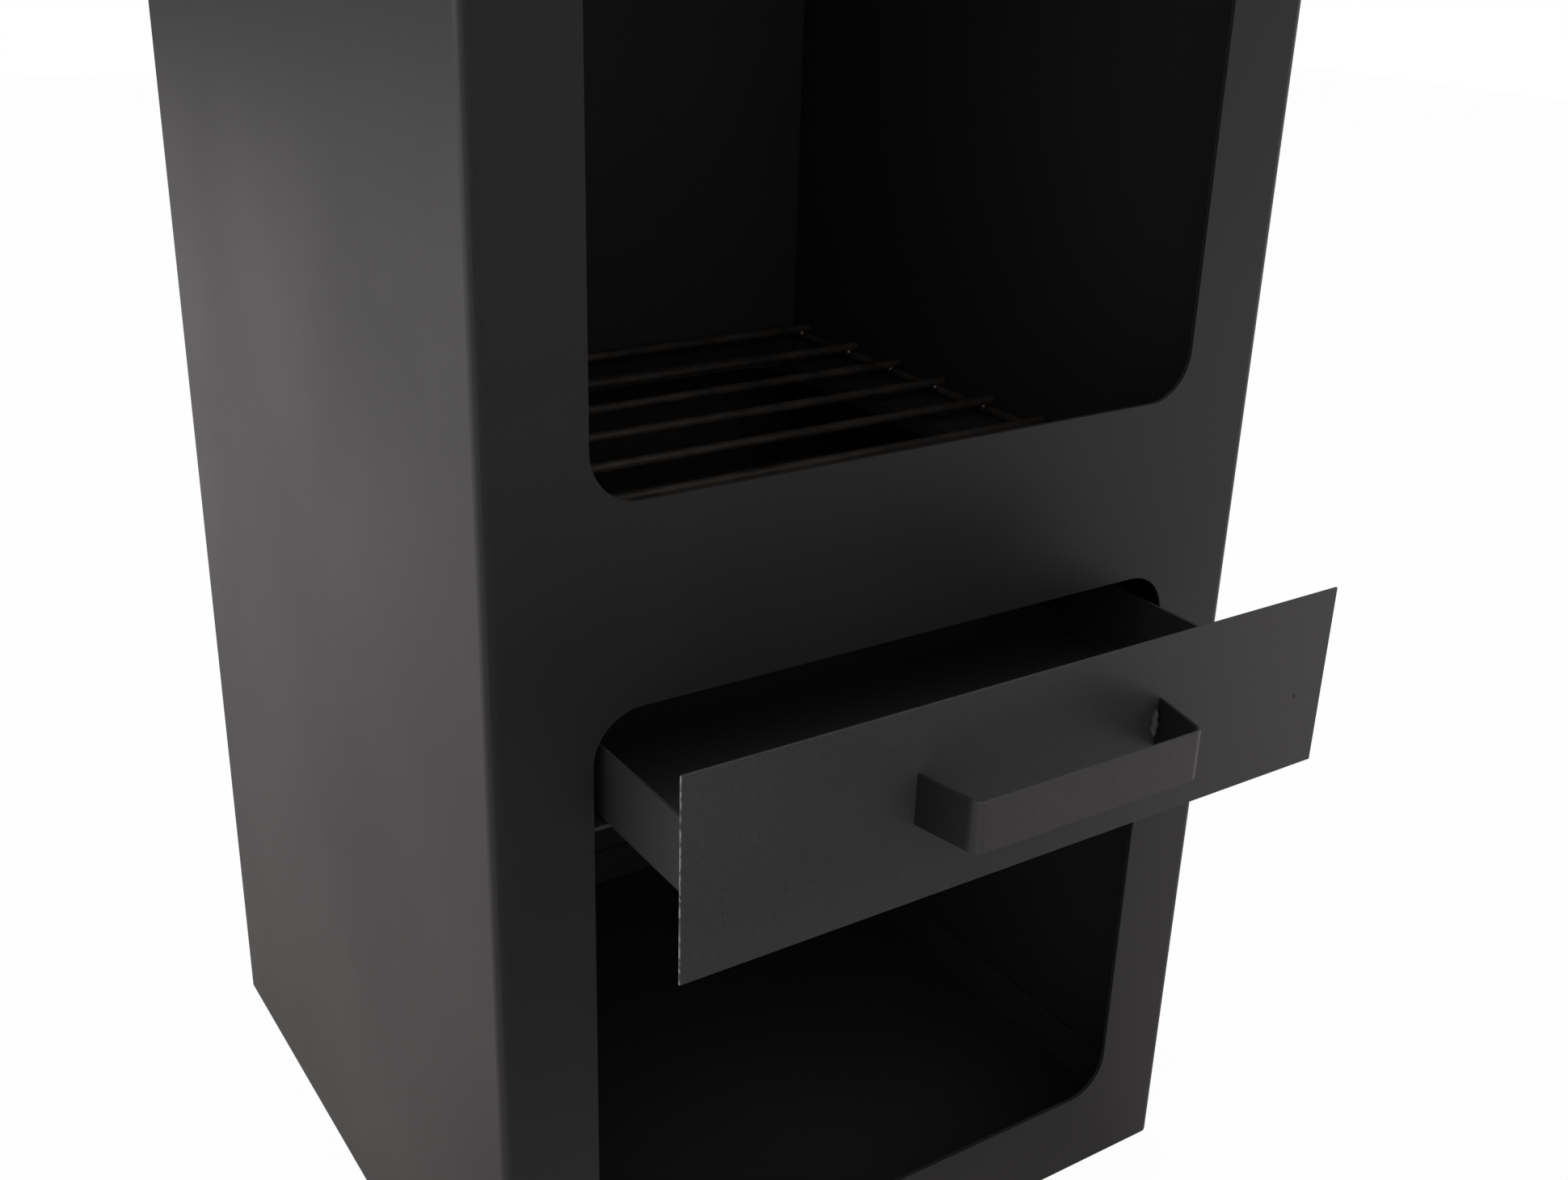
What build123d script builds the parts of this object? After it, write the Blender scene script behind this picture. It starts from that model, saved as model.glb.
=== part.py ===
from build123d import *
import os
from math import atan2, tan

# Outdoor fireplace, in millimetres: a square steel column with a fire opening, an ash drawer
# and a wood store under it, and a hood with a short chimney on top. The origin is the middle
# of the base on the ground, +Z is up and the openings face -Y. The drawer is drawn partly
# pulled out, as it stands at rest.

# Column, one folded sheet for the front and both sides
column_width = 450.0
column_depth = 450.0
column_height = 900.0
sheet = 2.0
fold_radius = 6.0
return_flange = 22.0

# The two front openings
front_margin = 50.0
opening_width = column_width - 2 * front_margin
opening_corner = 25.0
store_bottom = 54.0
store_opening_height = 350.0
middle_rail = 98.0
top_rail = 48.0

# Back panel and the shelves inside
back_recess = 14.0
back_rim = 8.0
pan_fold = 3.0
weld_gap = 0.2
corner_notch = 4.0
floor_rim = 30.0
shelf_level = 346.9
shelf_flange = 12.0
grate_shelf_level = 432.5
grate_shelf_flange = 16.0
ash_hole = 332.0
ash_hole_corner = 20.0
ash_hole_lip = 9.0

# Ash drawer
tray_side_gap = 6.5
tray_width = opening_width - 2 * tray_side_gap
tray_length = 400.0
tray_height = 38.5
tray_sheet = 1.5
slide_gap = 0.3
pulled_out = 100.0
front_lap = 14.0
front_width = opening_width + 2 * front_lap
front_height = 97.0
front_drop = 15.6
front_sheet = 1.2
cut_edge = 0.2
guide_length = 380.0
guide_height = 14.0
guide_foot = 16.0
guide_sheet = 1.5
guide_side_gap = 1.2
guide_start = 24.0

# Drawer handle, a bent flat bar
handle_reach = 33.5
handle_front_width = 130.8
handle_base_width = 144.6
handle_height = 25.0
handle_rise = 40.0
handle_bar = 1.5
handle_bend = 3.5
bead_radius = 2.2
bead_length = 15.0

# Loose wire grate
rod = 6.0
rod_chamfer = 0.7
grate_width = 432.0
grate_lift_gap = 0.3
bar_pitch = 49.6
inner_bars = 6
end_bar_gap = 59.5
bearer_overhang = 4.0
weld_radius = 3.4
weld_inset = 3.8
weld_drop = 0.6
rod_gap = 0.05

# Hood and chimney
hood_skirt = 28.0
hood_fit = 0.3
hood_rise = 220.0
stack_width = 150.0
stack_height = 320.0
stack_fit = 0.3
collar_height = 40.0
cap_width = 240.0
cap_lip = 15.0
cap_gap = 60.0
leg_width = 22.0
leg_sheet = 2.0
leg_lap = 42.0
leg_tab = 24.0

# Screws
screw = 5.0
screw_hole = 5.4
head_width = 9.5
head_height = 2.8
head_rounding = 1.2
socket_width = 3.0
socket_depth = 1.6
screw_spare = 2.5
nut_across = 8.0
nut_height = 4.0
nut_bore = 5.15
hood_screw_pitch = 150.0
hood_screws_a_side = 3
stack_screw_rise = 20.0
leg_screw_drop = 20.0

# Places worked out from the sizes above
inner_width = column_width - 2 * sheet
front_inside = -column_depth / 2 + sheet
back_face = column_depth / 2 - back_recess
shelf_depth = back_face - front_inside - 2 * weld_gap
shelf_middle = (back_face + front_inside) / 2
fire_bottom = store_bottom + store_opening_height + middle_rail
fire_opening_height = column_height - top_rail - fire_bottom


def wall_planes(width, depth):
    """Upright planes on the outer faces of a square duct: front, right, back and left."""
    planes = []
    for across, along, half in ((0, -1, depth), (1, 0, width), (0, 1, depth), (-1, 0, width)):
        middle = (across * half / 2, along * half / 2, 0)
        planes.append(Plane(origin=middle, x_dir=(-along, across, 0), z_dir=(across, along, 0)))
    return planes


def folded_pan(plane, width, depth, flange, thickness):
    """A flat sheet on the plane, with its four edges folded back away from the plane's normal."""
    with BuildPart() as pan:
        with BuildSketch(plane):
            Rectangle(width, depth)
        extrude(amount=-flange)
        outward = Axis(plane.origin, plane.z_dir)
        flat = pan.faces().sort_by(outward)[-1]
        fillet(flat.edges(), min(pan_fold, flange / 2))
        offset(amount=-thickness, openings=pan.faces().sort_by(outward)[0])
    return pan.part


def screw_set(planes, spots, grip):
    """Pan-head screws with a hexagon socket, one at each spot of each plane."""
    with BuildPart() as screws:
        for plane in planes:
            outward = Axis(plane.origin, plane.z_dir)
            with BuildSketch(plane):
                with Locations(*spots):
                    Circle(head_width / 2)
            extrude(amount=head_height)
            rims = screws.edges(Select.LAST).filter_by(GeomType.CIRCLE)
            fillet(rims.sort_by(outward)[-len(spots):], head_rounding)
            with BuildSketch(plane.offset(head_height)):
                with Locations(*spots):
                    RegularPolygon(socket_width / 2, 6, major_radius=False)
            extrude(amount=-socket_depth, mode=Mode.SUBTRACT)
            with BuildSketch(plane):
                with Locations(*spots):
                    Circle(screw / 2)
            extrude(amount=-(grip + nut_height + screw_spare))
    return screws.part


def nut_set(planes, spots, grip):
    """Hexagon nuts behind the sheets that the screws of the same spots hold."""
    with BuildPart() as nuts:
        for plane in planes:
            with BuildSketch(plane.offset(-grip)):
                with Locations(*spots):
                    RegularPolygon(nut_across / 2, 6, major_radius=False)
                with Locations(*spots):
                    Circle(nut_bore / 2, mode=Mode.SUBTRACT)
            extrude(amount=-nut_height)
    return nuts.part


# Hood screws stand in a row on the left and right sides, halfway up the skirt
hood_width = column_width + 2 * (hood_fit + sheet)
hood_depth = column_depth + 2 * (hood_fit + sheet)
hood_sides = wall_planes(hood_width, hood_depth)[1::2]
hood_screw_height = column_height - hood_skirt / 2
hood_row = (hood_screws_a_side - 1) / 2
hood_spots = [
    ((place - hood_row) * hood_screw_pitch, hood_screw_height) for place in range(hood_screws_a_side)
]
hood_grip = 2 * sheet + hood_fit

# Column: front and sides in one sheet, with a narrow flange turned in at each rear edge
with BuildPart() as body_shell:
    with BuildSketch():
        RectangleRounded(column_width, column_depth, fold_radius)
        RectangleRounded(inner_width, column_depth - 2 * sheet, fold_radius - sheet, mode=Mode.SUBTRACT)
        with Locations((0, column_depth / 2)):
            Rectangle(column_width - 2 * return_flange, 4 * sheet, mode=Mode.SUBTRACT)
    extrude(amount=column_height)
    with BuildSketch(Plane.XZ.offset(column_depth / 2)):
        with Locations((0, store_bottom + store_opening_height / 2)):
            RectangleRounded(opening_width, store_opening_height, opening_corner)
        with Locations((0, fire_bottom + fire_opening_height / 2)):
            RectangleRounded(opening_width, fire_opening_height, opening_corner)
    extrude(amount=-2 * sheet, mode=Mode.SUBTRACT)
    for plane in wall_planes(column_width, column_depth)[1::2]:
        with BuildSketch(plane):
            with Locations(*hood_spots):
                Circle(screw_hole / 2)
        extrude(amount=-2 * sheet, mode=Mode.SUBTRACT)

# Back panel: a shallow pan set into the column, its rim turned to the rear
back_plane = Plane(origin=(0, back_face, column_height / 2), x_dir=(1, 0, 0), z_dir=(0, -1, 0))
back_panel_pan = folded_pan(back_plane, inner_width - 2 * weld_gap, column_height, back_rim, sheet)
with BuildPart() as back_panel:
    add(back_panel_pan)

# The shelves leave the rounded front corners of the column free
with BuildPart() as front_corners:
    with BuildSketch():
        with Locations((-inner_width / 2, front_inside), (inner_width / 2, front_inside)):
            Rectangle(2 * corner_notch, 2 * corner_notch)
    extrude(amount=column_height)

# Wood store floor: a pan that lies flat on the ground, its flanges turned up the walls
floor_pan = folded_pan(
    Plane(origin=(0, shelf_middle, 0), x_dir=(1, 0, 0), z_dir=(0, 0, -1)),
    inner_width - 2 * weld_gap,
    shelf_depth,
    floor_rim,
    sheet,
)
with BuildPart() as store_floor:
    add(floor_pan)
    add(front_corners.part, mode=Mode.SUBTRACT)

# Shelf that carries the ash drawer: flanges turned up at the sides and back, none in front
shelf_under = Plane(
    origin=(0, shelf_middle - shelf_flange / 2, shelf_level - sheet), x_dir=(1, 0, 0), z_dir=(0, 0, -1)
)
shelf_pan = folded_pan(
    shelf_under, inner_width - 2 * weld_gap, shelf_depth + shelf_flange, shelf_flange, sheet
)
with BuildPart() as drawer_shelf:
    add(shelf_pan)
    split(bisect_by=Plane.XZ.offset(-front_inside - weld_gap), keep=Keep.BOTTOM)
    add(front_corners.part, mode=Mode.SUBTRACT)

# Firebox floor: a pan with a large square hole over the ash drawer
grate_pan = folded_pan(
    Plane(origin=(0, shelf_middle, grate_shelf_level)),
    inner_width - 2 * weld_gap,
    shelf_depth,
    grate_shelf_flange,
    sheet,
)
with BuildPart() as grate_shelf:
    add(grate_pan)
    add(front_corners.part, mode=Mode.SUBTRACT)
    with BuildSketch(Plane.XY.offset(grate_shelf_level)):
        RectangleRounded(ash_hole + 2 * sheet, ash_hole + 2 * sheet, ash_hole_corner + sheet)
    extrude(amount=-ash_hole_lip)
    with BuildSketch(Plane.XY.offset(grate_shelf_level)):
        RectangleRounded(ash_hole, ash_hole, ash_hole_corner)
    extrude(amount=-ash_hole_lip, mode=Mode.SUBTRACT)


def tray_guide(side):
    """A low angle beside the tray, -1 for the left and 1 for the right."""
    face = side * (tray_width / 2 + guide_side_gap)
    outer = face + side * guide_foot
    web = face + side * guide_sheet
    with BuildPart() as guide:
        with BuildSketch(Plane.XZ.offset(-front_inside - guide_start)):
            with BuildLine():
                Polyline(
                    (face, shelf_level),
                    (face, shelf_level + guide_height),
                    (web, shelf_level + guide_height),
                    (web, shelf_level + guide_sheet),
                    (outer, shelf_level + guide_sheet),
                    (outer, shelf_level),
                    close=True,
                )
            make_face()
        extrude(amount=-guide_length)
        fillet(guide.edges().filter_by(Axis.Y).sort_by(Axis.Z)[-2:], guide_sheet / 4)
    return guide.part


left_angle = tray_guide(-1)
right_angle = tray_guide(1)
with BuildPart() as tray_guide_left:
    add(left_angle)
with BuildPart() as tray_guide_right:
    add(right_angle)

# Ash drawer: an open tray on the shelf, pulled out from the closed place
plate_back = -column_depth / 2 - pulled_out
plate_face = plate_back - front_sheet
tray_bottom = shelf_level + slide_gap
tray_pan = folded_pan(
    Plane(origin=(0, plate_back + tray_length / 2, tray_bottom), x_dir=(1, 0, 0), z_dir=(0, 0, -1)),
    tray_width,
    tray_length,
    tray_height,
    tray_sheet,
)
with BuildPart() as ash_tray:
    add(tray_pan)

# Drawer front: a flat plate, wider and taller than the mouth that it closes
plate_bottom = tray_bottom - front_drop
with BuildPart() as drawer_front:
    with BuildSketch(Plane.XZ.offset(-plate_back)):
        with Locations((0, plate_bottom + front_height / 2)):
            Rectangle(front_width, front_height)
    extrude(amount=front_sheet)
    chamfer(drawer_front.edges(), cut_edge)

# Handle: a flat bar bent to a trapezium, standing on the plate
handle_bottom = plate_bottom + handle_rise
grip_face = plate_face - handle_reach
splay = (handle_base_width - handle_front_width) / 2 / handle_reach
outer_half = handle_base_width / 2 + splay * handle_bar
with BuildPart() as drawer_handle:
    with BuildSketch(Plane.XY.offset(handle_bottom)):
        with BuildLine():
            FilletPolyline(
                (-outer_half, plate_face + handle_bar),
                (-handle_front_width / 2, grip_face),
                (handle_front_width / 2, grip_face),
                (outer_half, plate_face + handle_bar),
                radius=handle_bar + handle_bend,
            )
            offset(amount=handle_bar, side=Side.LEFT)
        make_face()
    extrude(amount=handle_height)
    split(bisect_by=Plane.XZ.offset(-plate_face), keep=Keep.TOP)
    long_edges = drawer_handle.edges().filter_by(Plane.XY)
    fillet(long_edges.filter_by(Plane.XZ.offset(-plate_face), reverse=True), cut_edge)

# A short bead of weld inside each leg of the handle
bead_side = handle_base_width / 2 - handle_bar - bead_radius / 2
bead_middle = handle_bottom + handle_height / 2
with BuildPart() as handle_welds:
    with Locations((-bead_side, plate_face, bead_middle), (bead_side, plate_face, bead_middle)):
        Cylinder(bead_radius, bead_length)
    add(drawer_handle.part, mode=Mode.SUBTRACT)
    split(bisect_by=Plane.XZ.offset(-plate_face), keep=Keep.TOP)

# Grate: bars from side to side, welded on two bearers that lie on the firebox floor
bearer_height = grate_shelf_level + grate_lift_gap + rod / 2
bar_height = bearer_height + rod + rod_gap
inner_reach = (inner_bars - 1) / 2 * bar_pitch
bar_places = [place * bar_pitch - inner_reach for place in range(inner_bars)]
bar_places = [-inner_reach - end_bar_gap] + bar_places + [inner_reach + end_bar_gap]
bearer_half = bar_places[-1] + bearer_overhang
bearer_side = grate_width / 2 - rod / 2
with BuildPart() as grate_bars:
    with BuildSketch(Plane.YZ.offset(-grate_width / 2)):
        with Locations(*[(place, bar_height) for place in bar_places]):
            Circle(rod / 2)
    extrude(amount=grate_width)
    chamfer(grate_bars.edges().filter_by(GeomType.CIRCLE), rod_chamfer)

with BuildPart() as grate_bearers:
    with BuildSketch(Plane.XZ.offset(-bearer_half)):
        with Locations((-bearer_side, bearer_height), (bearer_side, bearer_height)):
            Circle(rod / 2)
    extrude(amount=2 * bearer_half)
    chamfer(grate_bearers.edges().filter_by(GeomType.CIRCLE), rod_chamfer)

with BuildPart() as grate_welds:
    crossing = bearer_height + (rod + rod_gap) / 2 - weld_drop
    weld_side = bearer_side - weld_inset
    with Locations(*[(side * weld_side, place, crossing) for side in (-1, 1) for place in bar_places]):
        Sphere(weld_radius)
    add(grate_bars.part, mode=Mode.SUBTRACT)
    add(grate_bearers.part, mode=Mode.SUBTRACT)

# Hood: four folded panels, each with a skirt, a slope and a collar, joined at the corners
collar_width = stack_width - 2 * (sheet + stack_fit)
slope_angle = atan2((hood_width - collar_width) / 2, hood_rise)
hood_fold = column_height + weld_gap + sheet * tan(slope_angle / 2)
hood_top = hood_fold + hood_rise
stack_bottom = hood_top
stack_top = stack_bottom + stack_height
stack_sides = wall_planes(stack_width, stack_width)
stack_spots = [(0, stack_bottom + stack_screw_rise)]
stack_grip = 2 * sheet + stack_fit
leg_spots = [(0, stack_top - leg_screw_drop)]
leg_grip = sheet + leg_sheet
with BuildPart() as hood:
    with BuildSketch(Plane.XY.offset(column_height - hood_skirt)):
        Rectangle(hood_width, hood_depth)
    extrude(amount=hood_skirt + hood_fold - column_height)
    with BuildSketch(Plane.XY.offset(hood_fold)):
        Rectangle(hood_width, hood_depth)
    with BuildSketch(Plane.XY.offset(hood_top)):
        Rectangle(collar_width, collar_width)
    loft(ruled=True)
    with BuildSketch(Plane.XY.offset(hood_top)):
        Rectangle(collar_width, collar_width)
    extrude(amount=collar_height)
    offset(amount=-sheet, openings=hood.faces().filter_by(Axis.Z))
    with Locations((0, 0, hood_fold)):
        for turn in (45, 135):
            Box(2 * hood_width, weld_gap, 4 * hood_rise, rotation=(0, 0, turn), mode=Mode.SUBTRACT)
    for plane in hood_sides:
        with BuildSketch(plane):
            with Locations(*hood_spots):
                Circle(screw_hole / 2)
        extrude(amount=-2 * sheet, mode=Mode.SUBTRACT)
    for plane in wall_planes(collar_width, collar_width):
        with BuildSketch(plane):
            with Locations(*stack_spots):
                Circle(screw_hole / 2)
        extrude(amount=-2 * sheet, mode=Mode.SUBTRACT)

# Chimney: a square tube that slips over the collar of the hood
with BuildPart() as chimney_stack:
    with BuildSketch(Plane.XY.offset(stack_bottom)):
        RectangleRounded(stack_width, stack_width, pan_fold)
        RectangleRounded(
            stack_width - 2 * sheet, stack_width - 2 * sheet, pan_fold - sheet, mode=Mode.SUBTRACT
        )
    extrude(amount=stack_height)
    for plane in stack_sides:
        with BuildSketch(plane):
            with Locations(*stack_spots, *leg_spots):
                Circle(screw_hole / 2)
        extrude(amount=-2 * sheet, mode=Mode.SUBTRACT)

# Rain cap: a flat pan on four bent legs that stand inside the chimney
cap_under = stack_top + cap_gap
cap_top = cap_under + sheet
leg_face = stack_width / 2 - sheet
tab_reach = leg_face - leg_tab / 2
tab_spots = [(tab_reach, 0), (-tab_reach, 0), (0, tab_reach), (0, -tab_reach)]
cap_pan = folded_pan(Plane.XY.offset(cap_top), cap_width, cap_width, cap_lip, sheet)
with BuildPart() as rain_cap:
    add(cap_pan)
    with BuildSketch(Plane.XY.offset(cap_top)):
        with Locations(*tab_spots):
            Circle(screw_hole / 2)
    extrude(amount=-2 * sheet, mode=Mode.SUBTRACT)

with BuildPart() as cap_legs:
    for plane in wall_planes(0, 0):
        with BuildSketch(Plane(origin=(0, 0, 0), x_dir=plane.z_dir, z_dir=-plane.x_dir)):
            with BuildLine():
                Polyline(
                    (leg_face, stack_top - leg_lap),
                    (leg_face, cap_under),
                    (leg_face - leg_tab, cap_under),
                    (leg_face - leg_tab, cap_under - leg_sheet),
                    (leg_face - leg_sheet, cap_under - leg_sheet),
                    (leg_face - leg_sheet, stack_top - leg_lap),
                    close=True,
                )
            make_face()
        extrude(amount=leg_width / 2, both=True)
    for plane in wall_planes(2 * leg_face, 2 * leg_face):
        with BuildSketch(plane):
            with Locations(*leg_spots):
                Circle(screw_hole / 2)
        extrude(amount=-2 * leg_sheet, mode=Mode.SUBTRACT)
    with BuildSketch(Plane.XY.offset(cap_under)):
        with Locations(*tab_spots):
            Circle(screw_hole / 2)
    extrude(amount=-2 * leg_sheet, mode=Mode.SUBTRACT)

hood_screw_row = screw_set(hood_sides, hood_spots, hood_grip)
hood_nut_row = nut_set(hood_sides, hood_spots, hood_grip)
stack_screw_ring = screw_set(stack_sides, stack_spots, stack_grip)
stack_nut_ring = nut_set(stack_sides, stack_spots, stack_grip)
leg_screw_ring = screw_set(stack_sides, leg_spots, leg_grip)
leg_nut_ring = nut_set(stack_sides, leg_spots, leg_grip)
tab_screw_ring = screw_set([Plane.XY.offset(cap_top)], tab_spots, leg_grip)
tab_nut_ring = nut_set([Plane.XY.offset(cap_top)], tab_spots, leg_grip)
with BuildPart() as hood_screws:
    add(hood_screw_row)
with BuildPart() as hood_nuts:
    add(hood_nut_row)
with BuildPart() as stack_screws:
    add(stack_screw_ring)
with BuildPart() as stack_nuts:
    add(stack_nut_ring)
with BuildPart() as cap_screws:
    add(leg_screw_ring)
    add(tab_screw_ring)
with BuildPart() as cap_nuts:
    add(leg_nut_ring)
    add(tab_nut_ring)

pieces = {
    "body_shell": body_shell,
    "back_panel": back_panel,
    "store_floor": store_floor,
    "drawer_shelf": drawer_shelf,
    "grate_shelf": grate_shelf,
    "tray_guide_left": tray_guide_left,
    "tray_guide_right": tray_guide_right,
    "ash_tray": ash_tray,
    "drawer_front": drawer_front,
    "drawer_handle": drawer_handle,
    "handle_welds": handle_welds,
    "grate_bars": grate_bars,
    "grate_bearers": grate_bearers,
    "grate_welds": grate_welds,
    "hood": hood,
    "hood_screws": hood_screws,
    "hood_nuts": hood_nuts,
    "chimney_stack": chimney_stack,
    "stack_screws": stack_screws,
    "stack_nuts": stack_nuts,
    "cap_legs": cap_legs,
    "rain_cap": rain_cap,
    "cap_screws": cap_screws,
    "cap_nuts": cap_nuts,
}
os.makedirs("parts", exist_ok=True)
for name, piece in pieces.items():
    piece.part.label = name
    export_step(piece.part, f"parts/{name}.step")
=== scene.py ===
# %% [markdown]
# A square garden fireplace of folded steel, finished in Blender.
#
# The sheet metal, the drawer, the grate and the chimney come from the CAD model, which is loaded
# here as a fixed frame in metres. This lesson adds what the CAD doesn't hold: the powder coat with
# its fine grain, the bare steel of the grate, the ground weld seams, and a pale studio.

# %% Load the frame
from math import cos, pi, radians, sin

import bmesh
import bpy
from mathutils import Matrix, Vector, noise


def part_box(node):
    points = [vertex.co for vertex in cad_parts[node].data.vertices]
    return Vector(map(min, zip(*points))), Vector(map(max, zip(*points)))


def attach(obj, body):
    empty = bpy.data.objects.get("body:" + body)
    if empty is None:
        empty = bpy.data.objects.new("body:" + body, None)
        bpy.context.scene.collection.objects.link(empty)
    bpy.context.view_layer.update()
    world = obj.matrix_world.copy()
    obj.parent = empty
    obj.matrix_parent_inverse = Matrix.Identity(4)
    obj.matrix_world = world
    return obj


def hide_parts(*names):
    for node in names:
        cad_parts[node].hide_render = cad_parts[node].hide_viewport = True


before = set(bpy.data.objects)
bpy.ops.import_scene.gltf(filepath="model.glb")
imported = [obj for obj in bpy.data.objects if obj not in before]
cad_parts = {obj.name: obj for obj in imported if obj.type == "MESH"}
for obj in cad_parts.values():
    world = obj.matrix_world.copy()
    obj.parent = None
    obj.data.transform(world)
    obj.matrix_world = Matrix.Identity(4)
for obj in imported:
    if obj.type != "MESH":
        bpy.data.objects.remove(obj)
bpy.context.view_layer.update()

# %% [markdown]
# The camera stands in front of the object, to its left and above the drawer, and looks down at it.
# Its place and lens were worked out from the edges of the column, the openings and the drawer: a
# camera can be fitted by eye, but straight edges of a square box give it to within a pixel or two.
# The small shift moves the picture's middle off the lens axis, so no edge has to be bent.

# %% Camera
camera_place = (-0.47509, -0.81449, 0.74944)
camera_turn = (67.8640, -1.4462, -32.6545)
camera_lens = 38.528

camera_data = bpy.data.cameras.new("camera")
camera_data.sensor_fit = "HORIZONTAL"
camera_data.sensor_width = 36.0
camera_data.lens = camera_lens
camera_data.shift_x = 0.0146
camera_data.shift_y = -0.0197
camera_data.clip_start = 0.01
camera = bpy.data.objects.new("camera", camera_data)
camera.location = camera_place
camera.rotation_euler = [radians(angle) for angle in camera_turn]
bpy.context.scene.collection.objects.link(camera)
bpy.context.scene.camera = camera
bpy.context.scene.view_settings.view_transform = "Standard"
print("camera at", camera_place, "lens", camera_lens, "mm")

# %% [markdown]
# A material here is a small tree of nodes. The same few steps come back in every finish, so they
# are helpers: one makes an empty material with its shader, one adds a node and joins its inputs,
# and one gives the place on the piece in metres. That place is the piece's own, so a grain stays
# on the metal when the drawer slides. The rest blend colours and put numbers together.

# %% Helpers for finishes


def new_finish(name):
    """An empty material, its node tree, and its main shader."""
    material = bpy.data.materials.new(name)
    material.use_nodes = True
    tree = material.node_tree
    shader = next(node for node in tree.nodes if node.type == "BSDF_PRINCIPLED")
    return material, tree, shader


def add_node(tree, kind, inputs=(), **settings):
    """One node, its settings, and its inputs given as values or as the outputs to join."""
    node = tree.nodes.new(kind)
    for name, value in settings.items():
        setattr(node, name, value)
    for name, value in dict(inputs).items():
        if isinstance(value, bpy.types.NodeSocket):
            tree.links.new(value, node.inputs[name])
        else:
            node.inputs[name].default_value = value
    return node


def place_on_piece(tree, stretch=(1.0, 1.0, 1.0)):
    """The place on the piece in metres, stretched along its axes."""
    place = add_node(tree, "ShaderNodeTexCoord").outputs["Object"]
    values = {"Vector": place, "Scale": stretch}
    return add_node(tree, "ShaderNodeMapping", values).outputs["Vector"]


def cloud(tree, place, grains_per_metre, detail=2.0, roughness=0.5):
    """Soft random variation between about 0.3 and 0.7."""
    values = {"Vector": place, "Scale": grains_per_metre, "Detail": detail, "Roughness": roughness}
    return add_node(tree, "ShaderNodeTexNoise", values).outputs["Fac"]


def spread(tree, value, low_in, high_in, low_out, high_out):
    """The value moved from one range to another, and kept inside it."""
    values = {"Value": value, "From Min": low_in, "From Max": high_in}
    values.update({"To Min": low_out, "To Max": high_out})
    return add_node(tree, "ShaderNodeMapRange", values).outputs["Result"]


def blend_colours(tree, amount, first, second):
    """A colour between two, by an amount from 0 to 1."""
    mix = add_node(tree, "ShaderNodeMix", data_type="RGBA")
    tree.links.new(amount, mix.inputs["Factor"])
    for socket, colour in ((mix.inputs[6], first), (mix.inputs[7], second)):
        if isinstance(colour, bpy.types.NodeSocket):
            tree.links.new(colour, socket)
        else:
            socket.default_value = (*colour, 1.0)
    return mix.outputs[2]


def bumped(tree, height, strength, depth, below=None):
    """A surface normal raised by a height map, on top of the one below it."""
    values = {"Height": height, "Strength": strength, "Distance": depth}
    if below is not None:
        values["Normal"] = below
    return add_node(tree, "ShaderNodeBump", values).outputs["Normal"]


def combine(tree, operation, first, second):
    """Two numbers put together, such as added or multiplied."""
    node = add_node(tree, "ShaderNodeMath", operation=operation)
    for socket, value in zip(node.inputs, (first, second)):
        if isinstance(value, bpy.types.NodeSocket):
            tree.links.new(value, socket)
        else:
            socket.default_value = value
    return node.outputs[0]


def weighed(tree, first, first_share, second, second_share):
    """The sum of two numbers, each times its share."""
    first_part = combine(tree, "MULTIPLY", first, first_share)
    return combine(tree, "ADD", first_part, combine(tree, "MULTIPLY", second, second_share))


def place_along(tree, axis, place=None):
    """The place on the piece along one axis, in metres."""
    place = place_on_piece(tree) if place is None else place
    return add_node(tree, "ShaderNodeSeparateXYZ", {"Vector": place}).outputs[axis]


# %% [markdown]
# Powder coat is plastic dust that is melted onto the steel, so it is a satin film with a skin like
# a fine orange peel, about a millimetre from bump to bump. A flat black would look like a hole in
# the picture. Four noises make it real: a slow drift in tone and gloss over the sheet, a fine
# speckle in the colour, the peel as bump, and the shallow waves of the rolled sheet under it.

# %% Powder coat
drift_grain, speckle_grain, peel_grain, wave_grain = 5.0, 1400.0, 850.0, 9.0  # grains per metre


def powder_coat(name, deep, dusty, gloss=0.44, peel=0.00012, sheet_wave=0.0003):
    """Satin black powder coat, from its two colours, its roughness and its depths in metres."""
    material, tree, shader = new_finish(name)
    place = place_on_piece(tree)
    drift = cloud(tree, place, drift_grain, detail=3.0)
    speckle = cloud(tree, place, speckle_grain, detail=1.0)
    skin = cloud(tree, place, peel_grain, detail=2.0)
    waves = cloud(tree, place, wave_grain, detail=1.0)
    tone = weighed(tree, drift, 0.5, speckle, 0.5)
    amount = spread(tree, tone, 0.38, 0.62, 0.0, 1.0)
    tree.links.new(blend_colours(tree, amount, deep, dusty), shader.inputs["Base Color"])
    uneven = combine(tree, "ADD", drift, combine(tree, "MULTIPLY", speckle, 0.3))
    roughness = spread(tree, uneven, 0.4, 0.9, gloss - 0.05, gloss + 0.06)
    tree.links.new(roughness, shader.inputs["Roughness"])
    sheet_normal = bumped(tree, waves, 0.5, sheet_wave)
    tree.links.new(bumped(tree, skin, 0.35, peel, sheet_normal), shader.inputs["Normal"])
    return material, tree, shader


def recolour(tree, shader, amount, colour):
    """The coat's colour moved towards another where the amount is above 0."""
    below = shader.inputs["Base Color"].links[0].from_socket
    tree.links.new(blend_colours(tree, amount, below, colour), shader.inputs["Base Color"])


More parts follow.
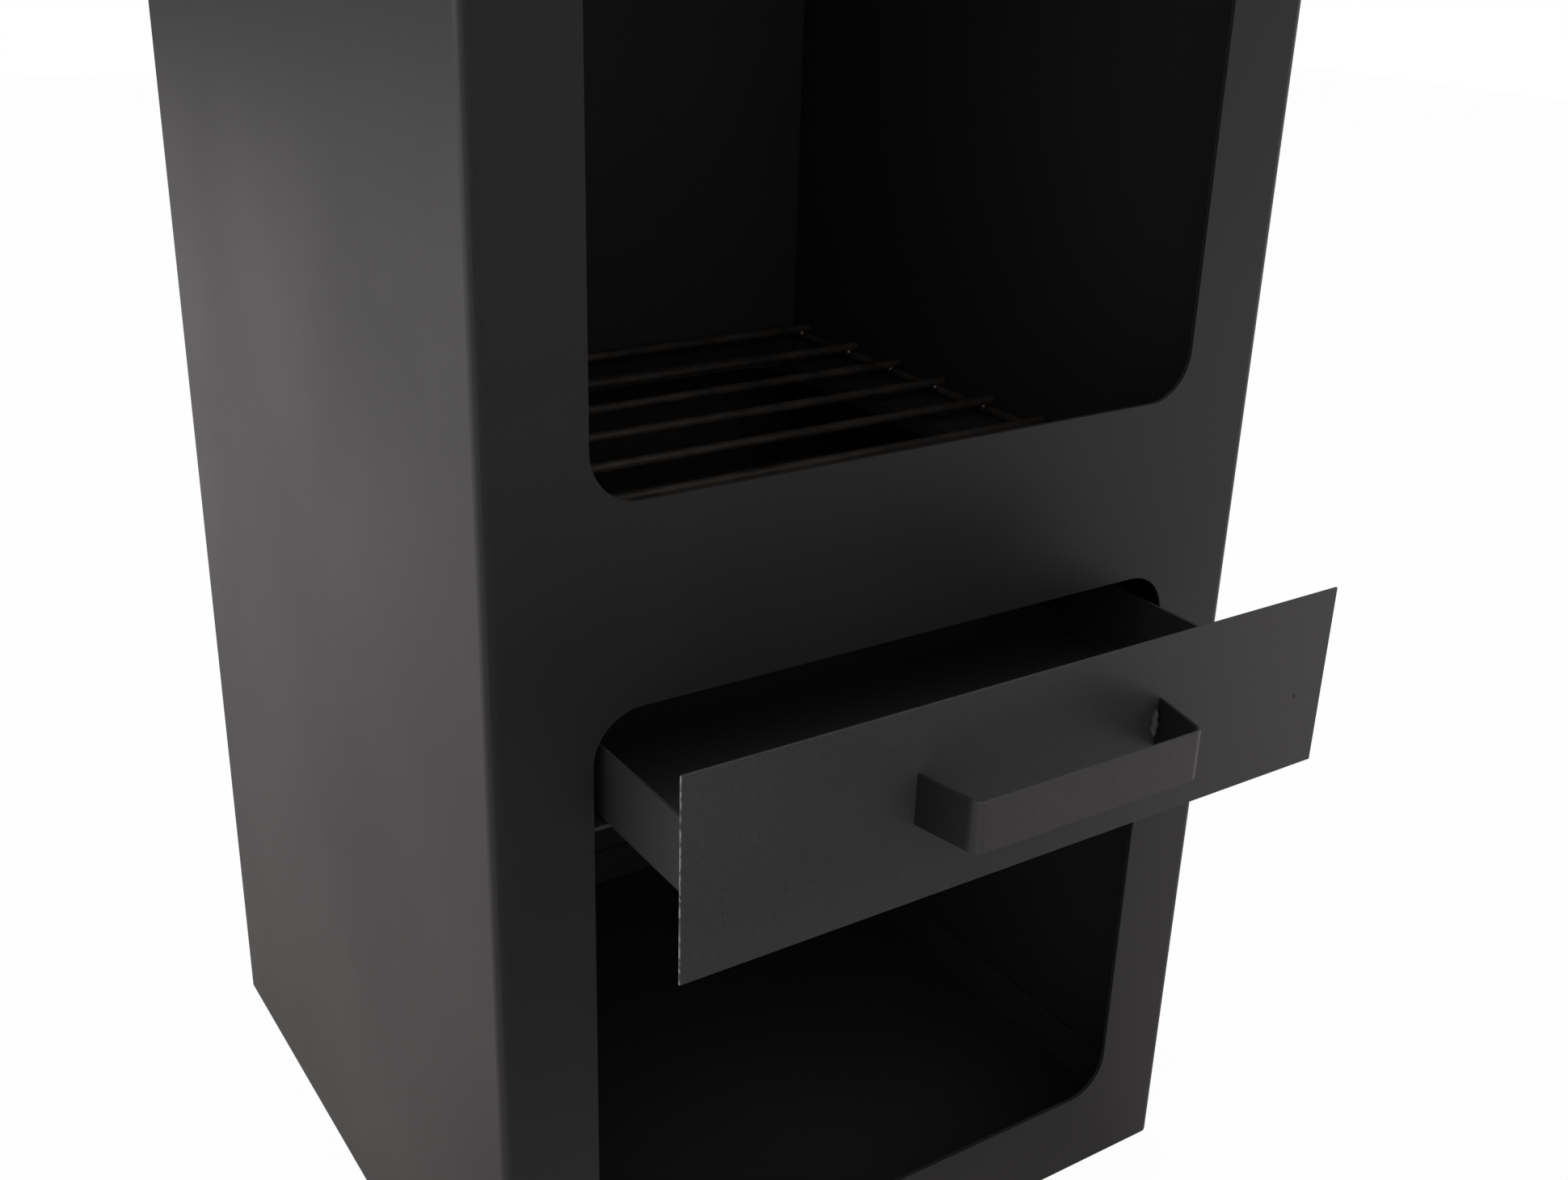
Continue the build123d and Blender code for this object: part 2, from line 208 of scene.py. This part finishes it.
outer_deep, outer_dusty = (0.0172, 0.0163, 0.0163), (0.0240, 0.0229, 0.0229)
# Inside colours: lighter than outside, a painted fill light for the inside
inner_deep_painted_fill, inner_dusty_painted_fill = (0.0300, 0.0291, 0.0287), (0.0400, 0.0388, 0.0383)
coat, _, _ = powder_coat("black_powder_coat", outer_deep, outer_dusty)
inner_coat_painted_fill, _, _ = powder_coat("inner_powder_coat_painted_fill", inner_deep_painted_fill, inner_dusty_painted_fill, gloss=0.52)
print("finishes:", coat.name, inner_coat_painted_fill.name)

# %% [markdown]
# Inside, the coat is painted a lighter grey than outside: a painted fill light that stands in for
# the light reaching the inside. The shelves and the back panel get that finish whole. The column
# is one sheet with an outside and an inside, so its finish asks how deep a point lies: past the
# skin of the sheet it turns to the grey of the painted fill light.

# %% Column coat, greyer inside


def depth_inside(tree, half_width, front, skin):
    """0 on the outer skin of the square column and 1 on its inner faces."""
    parts = add_node(tree, "ShaderNodeSeparateXYZ", {"Vector": place_on_piece(tree)}).outputs
    across = combine(tree, "ABSOLUTE", parts[0], 0.0)
    side = spread(tree, across, half_width - 0.9 * skin, half_width - 0.6 * skin, 1.0, 0.0)
    face = spread(tree, parts[1], front + 0.6 * skin, front + 0.9 * skin, 0.0, 1.0)
    return combine(tree, "MULTIPLY", side, face)


shell_low, shell_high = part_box("body_shell")
shell_sheet = 0.002
# The lighter grey of the column's inner faces is painted fill light
inside_painted_fill = (0.0300, 0.0291, 0.0288)
column_coat, tree, shader = powder_coat("column_powder_coat", outer_deep, outer_dusty)
recolour(tree, shader, depth_inside(tree, shell_high.x, shell_low.y, shell_sheet), inside_painted_fill)
print("finish:", column_coat.name)

# %% [markdown]
# The drawer is coated too, but its plate and bar are cut from thin sheet, and the film pulls back
# from a sharp edge. The plate's upright edge is a fine pale line, broken by specks: partly bare
# steel and partly a painted highlight of the edge. An edge is found by its place: how near a point
# is to the end of its own piece along an axis. The plate and the bar are painted lighter than the
# tray, a painted sheen. The legs of the handle are painted darker than its bar, and so is what
# lies behind the bar's front: painted shade.

# %% Drawer coat with pale edges
speck_grain = 260.0
# Pale colour of the cut edges: partly bare steel, partly a painted highlight of the edge
bare_and_highlit_edge = (0.22, 0.21, 0.205)


def near_ends(tree, axis, low, high, reach):
    """1 within a reach of either end of a piece along one axis, and 0 elsewhere."""
    offset = combine(tree, "SUBTRACT", place_along(tree, axis), (low + high) / 2)
    from_middle = combine(tree, "ABSOLUTE", offset, 0.0)
    half = (high - low) / 2
    return spread(tree, from_middle, half - reach, half - 0.6 * reach, 0.0, 1.0)


def edge_worn_and_highlit_coat(name, node, deep, dusty, worn_and_highlit_axes, reach=0.0003):
    """Drawer coat rubbed pale near the ends of a piece, partly a painted edge highlight, by an
    amount for each axis.
    """
    material, tree, shader = powder_coat(name, deep, dusty, gloss=0.42)
    low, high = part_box(node)
    patches = cloud(tree, place_on_piece(tree), speck_grain, detail=4.0)
    specks = spread(tree, patches, 0.43, 0.57, 0.0, 1.0)
    for axis, amount in worn_and_highlit_axes.items():
        # Near the ends the coat turns pale: rubbed bare, and a painted edge highlight
        edge = near_ends(tree, axis, low[axis], high[axis], reach)
        worn_and_highlit = combine(tree, "MULTIPLY", edge, amount)
        recolour(tree, shader, combine(tree, "MULTIPLY", worn_and_highlit, specks), bare_and_highlit_edge)
    return material, tree, shader


drawer_deep, drawer_dusty = (0.0240, 0.0234, 0.0237), (0.0330, 0.0322, 0.0326)
drawer_coat, _, _ = powder_coat("drawer_powder_coat", drawer_deep, drawer_dusty, gloss=0.42)
# The plate and the bar are painted lighter than the tray: a painted sheen for the light their
# fronts mirror from the room
plate_deep_painted_sheen, plate_dusty_painted_sheen = (0.0335, 0.0324, 0.0324), (0.0457, 0.0441, 0.0441)
plate_coat, _, _ = edge_worn_and_highlit_coat(
    "plate_powder_coat", "drawer_front", plate_deep_painted_sheen, plate_dusty_painted_sheen, {0: 0.9, 2: 0.05}
)
bar_deep_painted_sheen, bar_dusty_painted_sheen = (0.0440, 0.0426, 0.0420), (0.0590, 0.0572, 0.0564)
handle_coat, tree, shader = edge_worn_and_highlit_coat(
    "handle_powder_coat", "drawer_handle", bar_deep_painted_sheen, bar_dusty_painted_sheen, {2: 0.05}
)
# Painted shade: the handle's legs and what lies behind the bar's front are coloured darker
leg_painted_shade = (0.0120, 0.0117, 0.0116)
bar_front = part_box("drawer_handle")[0].y
leg_shade_mask = spread(tree, place_along(tree, 1), bar_front + 0.0010, bar_front + 0.0060, 0.0, 1.0)
recolour(tree, shader, leg_shade_mask, leg_painted_shade)
bead_deep, bead_dusty = (0.050, 0.048, 0.047), (0.085, 0.082, 0.080)
bead_coat, _, _ = powder_coat("bead_powder_coat", bead_deep, bead_dusty, gloss=0.30)
print("finishes:", drawer_coat.name, plate_coat.name, handle_coat.name, bead_coat.name)

# %% [markdown]
# The grate is drawn round rod, still with the brown-grey skin that it was rolled with. Drawing
# leaves lines along the rod, so the noise is stretched along it: bars run along X, and the bearers
# under them along Y. Each weld is a small bright blob, and its grey is uneven from the heat.

# %% Steel of the grate and its welds


def drawn_rod(name, along):
    """Brown-grey steel rod with drawing lines along one axis."""
    material, tree, shader = new_finish(name)
    dark, light = (0.085, 0.074, 0.064), (0.190, 0.164, 0.138)
    stretch = tuple(0.04 if axis == along else 1.0 for axis in range(3))
    lines = cloud(tree, place_on_piece(tree, stretch), 1500.0, detail=3.0)
    patches = cloud(tree, place_on_piece(tree), 45.0, detail=4.0, roughness=0.6)
    amount = spread(tree, weighed(tree, lines, 0.4, patches, 0.6), 0.36, 0.64, 0.0, 1.0)
    tree.links.new(blend_colours(tree, amount, dark, light), shader.inputs["Base Color"])
    tree.links.new(spread(tree, patches, 0.3, 0.7, 0.34, 0.56), shader.inputs["Roughness"])
    tree.links.new(bumped(tree, lines, 0.4, 0.00008), shader.inputs["Normal"])
    shader.inputs["Metallic"].default_value = 0.7
    return material


def weld_steel(name):
    """Bare weld metal: rippled, bright and uneven."""
    material, tree, shader = new_finish(name)
    dark, light = (0.22, 0.20, 0.19), (0.55, 0.52, 0.48)
    place = place_on_piece(tree)
    ripples = cloud(tree, place, 900.0, detail=2.0)
    tint = cloud(tree, place, 320.0, detail=2.0)
    amount = spread(tree, tint, 0.38, 0.62, 0.0, 1.0)
    tree.links.new(blend_colours(tree, amount, dark, light), shader.inputs["Base Color"])
    tree.links.new(spread(tree, ripples, 0.3, 0.7, 0.22, 0.42), shader.inputs["Roughness"])
    tree.links.new(bumped(tree, ripples, 0.6, 0.0002), shader.inputs["Normal"])
    shader.inputs["Metallic"].default_value = 1.0
    return material


bar_steel = drawn_rod("grate_bar_steel", along=0)
bearer_steel = drawn_rod("grate_bearer_steel", along=1)
bead_steel = weld_steel("weld_bead_steel")
print("finishes:", bar_steel.name, bearer_steel.name, bead_steel.name)

# %% [markdown]
# The screws and nuts are blackened, which is a thin oxide skin and not paint. It is a dark metal
# with rubbed places on the heads, so its colour moves between near black and a worn grey.

# %% Blackened screws


def blackened_steel(name):
    """Black oxide on steel, rubbed in small patches."""
    material, tree, shader = new_finish(name)
    oxide, rubbed = (0.035, 0.035, 0.037), (0.110, 0.106, 0.100)
    place = place_on_piece(tree)
    rub = spread(tree, cloud(tree, place, 420.0, detail=4.0), 0.46, 0.66, 0.0, 1.0)
    tree.links.new(blend_colours(tree, rub, oxide, rubbed), shader.inputs["Base Color"])
    tree.links.new(spread(tree, rub, 0.0, 1.0, 0.46, 0.32), shader.inputs["Roughness"])
    tree.links.new(bumped(tree, cloud(tree, place, 2400.0), 0.3, 0.00005), shader.inputs["Normal"])
    shader.inputs["Metallic"].default_value = 0.9
    return material


screw_black = blackened_steel("blackened_screw")
print("finish:", screw_black.name)

# %% [markdown]
# Every CAD piece now gets its finish. A CAD object keeps its mesh and its place, and only what is
# in its material slots changes.

# %% Dress the CAD pieces
finish_of = {
    "body_shell": column_coat,
    "back_panel": inner_coat_painted_fill,
    "store_floor": inner_coat_painted_fill,
    "drawer_shelf": inner_coat_painted_fill,
    "grate_shelf": inner_coat_painted_fill,
    "ash_tray": drawer_coat,
    "drawer_front": plate_coat,
    "drawer_handle": handle_coat,
    "handle_welds": bead_coat,
    "grate_bars": bar_steel,
    "grate_bearers": bearer_steel,
    "grate_welds": bead_steel,
}
for name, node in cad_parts.items():
    finish = finish_of.get(name, screw_black if name.endswith(("_screws", "_nuts")) else coat)
    node.data.materials.clear()
    node.data.materials.append(finish)
    print(name, "->", finish.name)

# %% [markdown]
# The hood is welded from four slopes, and the seams at its corners are ground nearly flush before
# the coat goes on. What is left is a low, slightly uneven ridge. A curve with a round bevel would
# be as even as a wire, so the bead is built ring by ring along the corner, and each ring's width
# and height wander a little, always the same way from a fixed noise.

# %% Weld beads
ring_points = 10
weave_turn = pi / 3  # turn of the torch from one ring to the next
wander_grain = 90.0
end_width = 0.35  # share of the full width at a bead's two ends


def bead(name, paths, width, height, step, finish, slot, body, wander=0.25, weave=0.0):
    """Low weld beads along straight paths: each has its start, its end and its way out."""
    mesh = bmesh.new()
    for number, (start, end, outward) in enumerate(paths):
        start, end, outward = Vector(start), Vector(end), Vector(outward).normalized()
        along = (end - start).normalized()
        across = along.cross(outward).normalized()
        rings = max(4, int((end - start).length / step))
        previous = None
        for index in range(rings + 1):
            part = index / rings
            middle = start.lerp(end, part) + across * weave * sin(index * weave_turn)
            wobble = noise.noise(middle * wander_grain + Vector((number * 7.0, 0.0, 0.0)))
            ripple = 0.5 + 0.5 * cos(index * pi)
            taper = min(1.0, 4.0 * min(part, 1.0 - part) + end_width)
            half = width / 2 * taper * (1.0 + wander * wobble)
            rise = height * taper * (1.0 + wander * wobble + 0.2 * ripple)
            ring = []
            for point in range(ring_points):
                angle = 2 * pi * point / ring_points
                round_it = across * half * cos(angle) + outward * rise * sin(angle)
                ring.append(mesh.verts.new(middle + round_it))
            if previous:
                for point in range(ring_points):
                    following = (point + 1) % ring_points
                    edge = (previous[point], previous[following])
                    mesh.faces.new((*edge, ring[following], ring[point]))
            else:
                mesh.faces.new(ring)
            previous = ring
        mesh.faces.new(reversed(previous))
    bmesh.ops.recalc_face_normals(mesh, faces=mesh.faces)
    for face in mesh.faces:
        face.smooth = len(face.verts) == 4
    data = bpy.data.meshes.new(name)
    mesh.to_mesh(data)
    mesh.free()
    piece = bpy.data.objects.new(name, data)
    bpy.context.scene.collection.objects.link(piece)
    piece.data.materials.append(finish)
    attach(piece, body)
    print(name, "with", len(paths), "beads and", len(data.polygons), "faces")
    return piece


hood_low, hood_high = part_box("hood")
stack_low, stack_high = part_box("chimney_stack")
seam_sizes = (0.0060, 0.0009, 0.004)  # width, height and step
corner = hood_high.x - 0.0011
collar_corner = stack_high.x + 0.0007
hip_foot = shell_high.z + 0.0004
hip_head = stack_low.z - 0.004
hip_paths = []
for side_x in (-1, 1):
    for side_y in (-1, 1):
        skirt = (side_x * corner, side_y * corner, hood_low.z + 0.0004)
        foot = (side_x * corner, side_y * corner, hip_foot)
        head = (side_x * collar_corner, side_y * collar_corner, hip_head)
        hip_paths.append((foot, head, (side_x, side_y, 1.0)))
        hip_paths.append((skirt, foot, (side_x, side_y, 0.0)))
bead("hood_corner_seams", hip_paths, *seam_sizes, coat, "black_powder_coat", "casing")

# %% [markdown]
# The handle is held by one bead inside each leg. The torch was woven from side to side, so the
# bead is a lumpy zigzag with a brighter skin than the smooth bar. It takes the place of the plain
# bead of the CAD model, which stays behind for the motion checks, hidden.

# %% Welds of the handle
weld_low, weld_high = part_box("handle_welds")
bead_inset, bead_sink, bead_end = 0.0018, 0.0004, 0.0006
handle_paths = []
for side, outer in ((-1, weld_low.x), (1, weld_high.x)):
    middle_x = outer - side * bead_inset
    start = (middle_x, weld_high.y - bead_sink, weld_low.z + bead_end)
    end = (middle_x, weld_high.y - bead_sink, weld_high.z - bead_end)
    handle_paths.append((start, end, (0.0, -1.0, 0.0)))
bead_sizes = (0.0030, 0.0017, 0.0009)  # width, height and step
bead_look = (bead_coat, "drawer_powder_coat", "drawer")
handle_beads = bead(
    "handle_beads", handle_paths, *bead_sizes, *bead_look, wander=0.5, weave=0.0005
)
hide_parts("handle_welds")

# %% [markdown]
# The tray is held to the plate by short welds where its two side walls meet the plate. They can be
# seen from the side when the drawer is open, so each wall gets one low and one high.

# %% Welds of the tray
tray_low, tray_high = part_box("ash_tray")
tack_length, tack_sink = 0.010, 0.0004
tray_paths = []
for side, wall in ((-1, tray_low.x), (1, tray_high.x)):
    for height in (tray_low.z + 0.006, tray_high.z - 0.016):
        start = (wall, tray_low.y + tack_sink, height)
        end = (wall, tray_low.y + tack_sink, height + tack_length)
        tray_paths.append((start, end, (side, 1.0, 0.0)))
tack_sizes = (0.0034, 0.0012, 0.0008)  # width, height and step
tack_look = (drawer_coat, "drawer_powder_coat", "drawer")
bead("tray_tacks", tray_paths, *tack_sizes, *tack_look, wander=0.4, weave=0.0003)

# %% [markdown]
# The studio is a white floor that runs out of sight, soft lamps and a plain world. The picture's
# ground is pure white while the object is nearly black, and more light would turn the black grey.
# So what the camera sees of the floor and the world is nearly all white by itself. What the satin
# coat mirrors is bright at the back and on the right, and dark in front, as in a real room, where
# the camera stands in its own shade. Scattered light comes from the plain grey floor and world.

# %% Floor and world


def mix_shaders(tree, amount, first, second):
    """A shader between two, by an amount from 0 to 1."""
    return add_node(tree, "ShaderNodeMixShader", {0: amount, 1: first, 2: second}).outputs[0]


def glow(tree, kind, colour, strength):
    """A shader that shines by itself, for a surface or for the world."""
    return add_node(tree, kind, {"Color": colour, "Strength": strength}).outputs[0]


def white_for_the_eye(tree, seen, mirrored, scattered):
    """One shader for the camera, one for mirroring surfaces and one for scattered light."""
    rays = add_node(tree, "ShaderNodeLightPath").outputs
    mirror_ray = combine(tree, "MAXIMUM", rays["Is Glossy Ray"], rays["Is Transmission Ray"])
    soft = mix_shaders(tree, mirror_ray, scattered, mirrored)
    return mix_shaders(tree, rays["Is Camera Ray"], soft, seen)


white = (1.0, 1.0, 1.0, 1.0)
seen_white = 0.97  # share of the floor that is white whatever the light
brightest_mirrored = 0.82
camera_distance = 1.05  # how far in front of the object the mirrored floor is darkest
floor_half = 6.0
floor_drop = 0.0003
floor_mesh = bmesh.new()
bmesh.ops.create_grid(floor_mesh, x_segments=8, y_segments=8, size=floor_half)
floor_data = bpy.data.meshes.new("floor")
floor_mesh.to_mesh(floor_data)
floor_mesh.free()
floor = bpy.data.objects.new("floor", floor_data)
floor.location.z = -floor_drop
bpy.context.scene.collection.objects.link(floor)

floor_finish, tree, shader = new_finish("white_floor")
place = place_on_piece(tree)
grain = spread(tree, cloud(tree, place, 30.0, detail=5.0), 0.3, 0.7, 0.0, 1.0)
floor_tones = ((0.80, 0.78, 0.77), (0.84, 0.82, 0.81))
tree.links.new(blend_colours(tree, grain, *floor_tones), shader.inputs["Base Color"])
shader.inputs["Roughness"].default_value = 0.5

# Where the mirrored floor is bright: behind the object, and on its right
across, deep_in = place_along(tree, 0, place), place_along(tree, 1, place)
length = add_node(tree, "ShaderNodeVectorMath", {0: place}, operation="LENGTH")
from_the_middle = length.outputs["Value"]
to_the_back = spread(tree, deep_in, -0.55, 0.05, 0.0, 1.0)
sideways = combine(tree, "DIVIDE", combine(tree, "ADD", across, deep_in), from_the_middle)
to_the_right = spread(tree, sideways, -0.36, 0.04, 0.0, 0.94)
bright_part = combine(tree, "MAXIMUM", to_the_back, to_the_right)
lit = spread(tree, bright_part, 0.0, 1.0, 0.0, brightest_mirrored)

# In front it is dark, and darkest under the camera; near the object it is in the object's shade
from_the_camera = combine(tree, "ADD", deep_in, camera_distance)
from_the_camera = combine(tree, "ABSOLUTE", from_the_camera, 0.0)
in_front = spread(tree, from_the_camera, 0.1, 0.8, 0.06, 0.17)
lit = combine(tree, "MAXIMUM", lit, in_front)
lit = combine(tree, "MULTIPLY", lit, spread(tree, from_the_middle, 0.3, 1.5, 0.56, 1.0))
far = spread(tree, from_the_middle, 0.3, 1.5, 0.0, 1.0)
cast = blend_colours(tree, far, (1.0, 0.945, 0.925), (1.0, 0.955, 0.975))

mirrored = glow(tree, "ShaderNodeEmission", cast, lit)
white_floor = glow(tree, "ShaderNodeEmission", white, 1.0)
seen = mix_shaders(tree, seen_white, shader.outputs[0], white_floor)
output = next(node for node in tree.nodes if node.type == "OUTPUT_MATERIAL")
final = white_for_the_eye(tree, seen, mirrored, shader.outputs[0])
tree.links.new(final, output.inputs["Surface"])
floor.data.materials.append(floor_finish)

world = bpy.data.worlds.new("studio")
world.use_nodes = True
bpy.context.scene.world = world
tree = world.node_tree
output = next(node for node in tree.nodes if node.type == "OUTPUT_WORLD")
seen = glow(tree, "ShaderNodeBackground", white, 1.0)
mirrored = glow(tree, "ShaderNodeBackground", (1.0, 0.96, 0.97, 1.0), 0.14)
scattered = glow(tree, "ShaderNodeBackground", (1.0, 0.98, 0.98, 1.0), 0.76)
tree.links.new(white_for_the_eye(tree, seen, mirrored, scattered), output.inputs["Surface"])
print("floor", 2 * floor_half, "m wide, world ready")

# %% [markdown]
# Three wide lamps stand for the room: a large one behind on the left, one over the top, and a weak
# one on the right. The side that the camera sees in the light gets its grey sheen from them, and
# the front stays dark. Each lamp is a rectangle, because a wide lamp gives a soft edge of shadow.

# %% Lamps
lamp_list = (  # name, place, target, width, height and watts
    ("lamp_left", (-2.6, 0.9, 1.7), (0.0, 0.0, 0.6), 2.2, 2.6, 34.0),
    ("lamp_top", (0.0, 0.4, 3.4), (0.0, 0.0, 0.7), 2.4, 2.4, 26.0),
    ("lamp_right", (2.8, -0.6, 1.5), (0.0, 0.0, 0.5), 1.6, 2.2, 14.0),
)


def soft_lamp(name, place, target, width, height, power):
    """A wide rectangular lamp at a place, facing a target."""
    data = bpy.data.lights.new(name, "AREA")
    data.shape = "RECTANGLE"
    data.size, data.size_y = width, height
    data.energy = power
    lamp = bpy.data.objects.new(name, data)
    lamp.location = place
    lamp.rotation_euler = (Vector(target) - Vector(place)).to_track_quat("-Z", "Y").to_euler()
    bpy.context.scene.collection.objects.link(lamp)
    print("lamp", name, power, "W")


for lamp_row in lamp_list:
    soft_lamp(*lamp_row)
